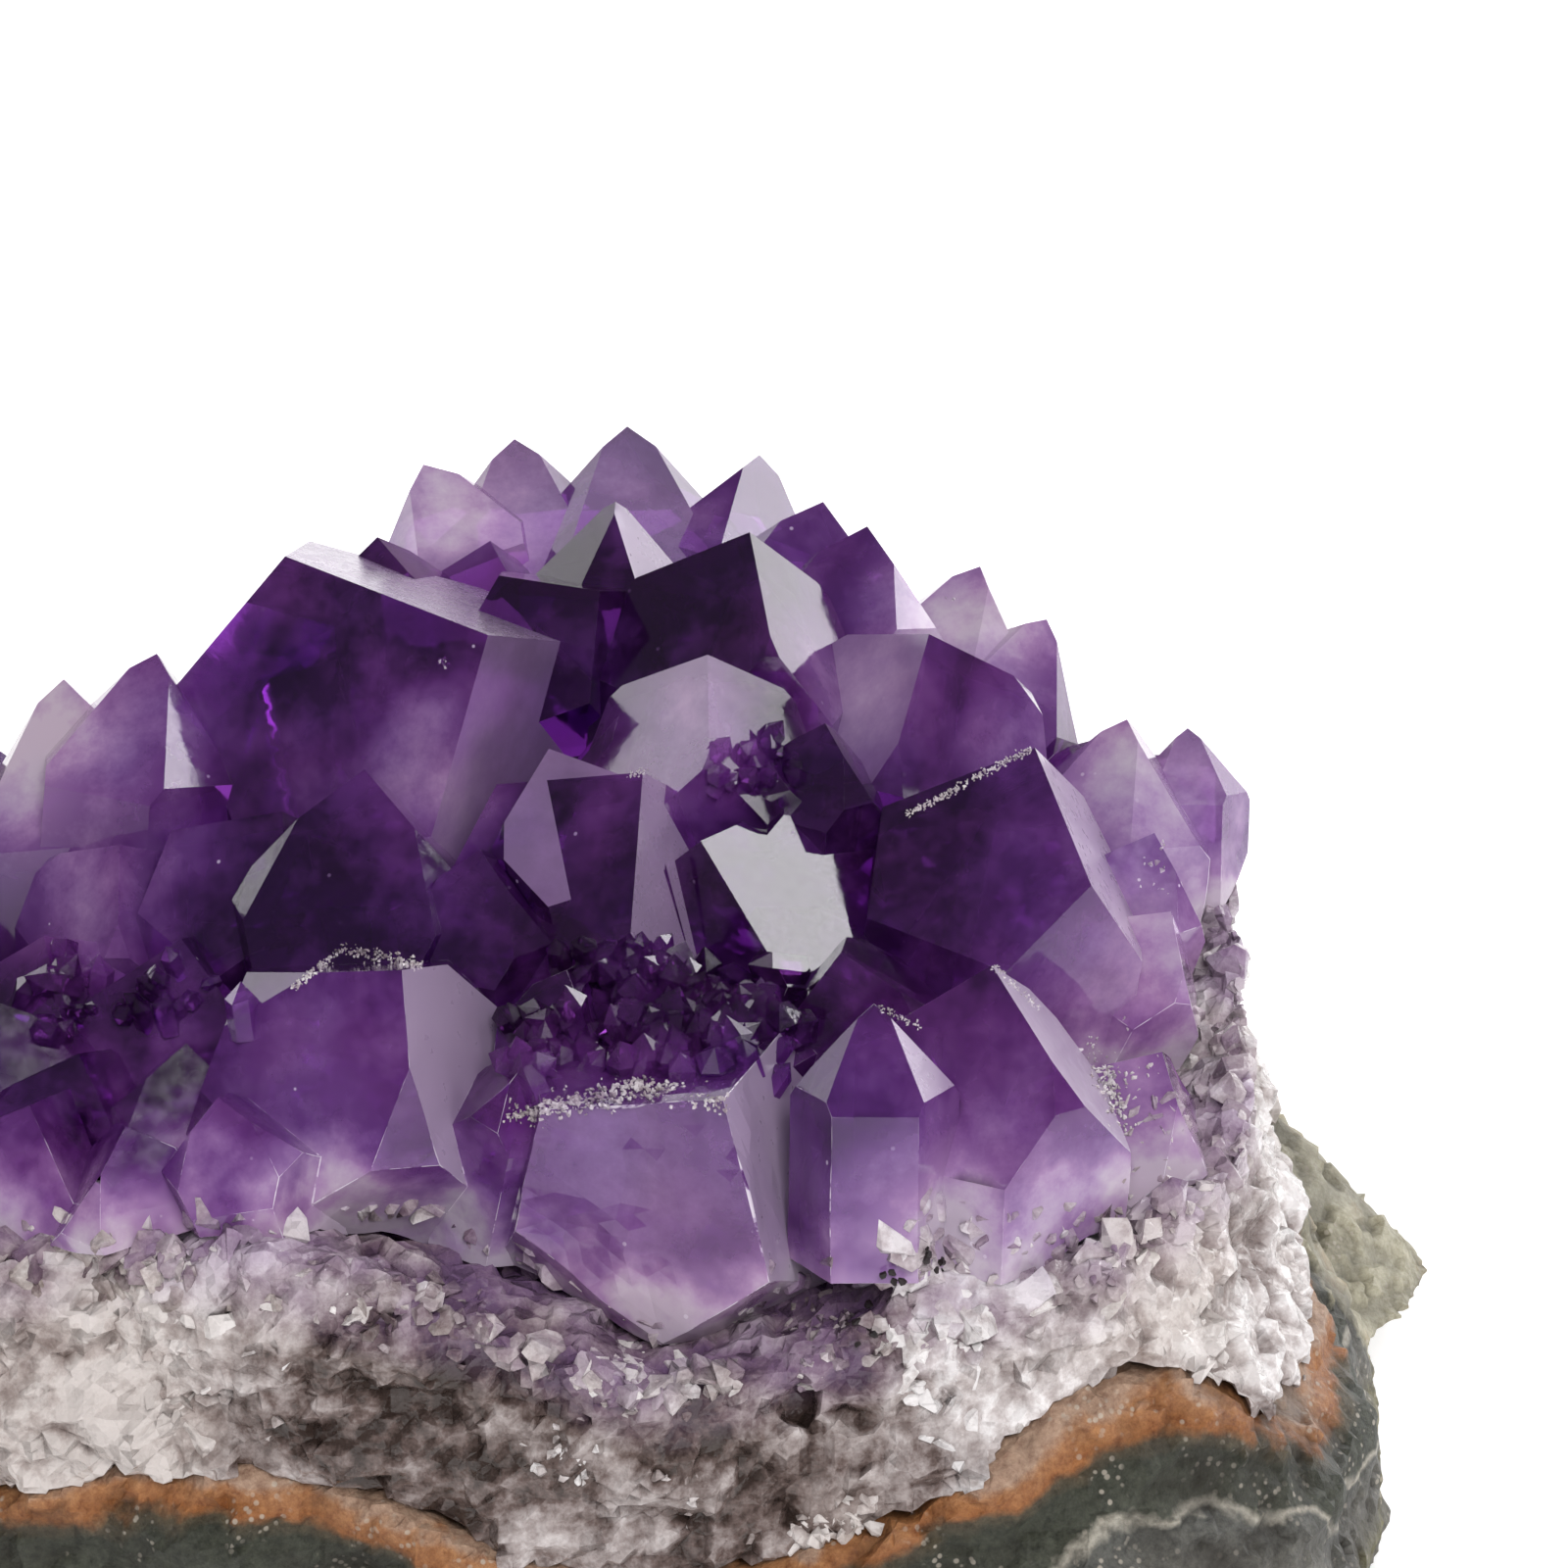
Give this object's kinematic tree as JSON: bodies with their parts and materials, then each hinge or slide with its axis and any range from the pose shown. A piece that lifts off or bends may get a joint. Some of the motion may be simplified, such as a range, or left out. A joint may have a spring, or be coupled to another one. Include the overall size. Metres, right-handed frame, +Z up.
{
  "type": "amethyst cluster",
  "caption": "Amethyst cluster: purple pointed quartz crystals on a pale quartz layer and banded wall rock, with a flat underside to stand on.",
  "frame": {"origin": "on the flat underside, below the middle of the whole specimen's bounding box", "axes": "+Z up, +X to the viewer's right, the broken front with its bands faces -Y"},
  "size_m": [0.1258, 0.0916, 0.0673],
  "materials": {
    "amethyst": "natural",
    "milky_quartz": "natural",
    "wall_rock": "natural"
  },
  "bodies": {
    "root": {"amethyst_crystals": "amethyst", "quartz_layer": "milky_quartz", "matrix_rock": "wall_rock"}
  },
  "joints": []
}
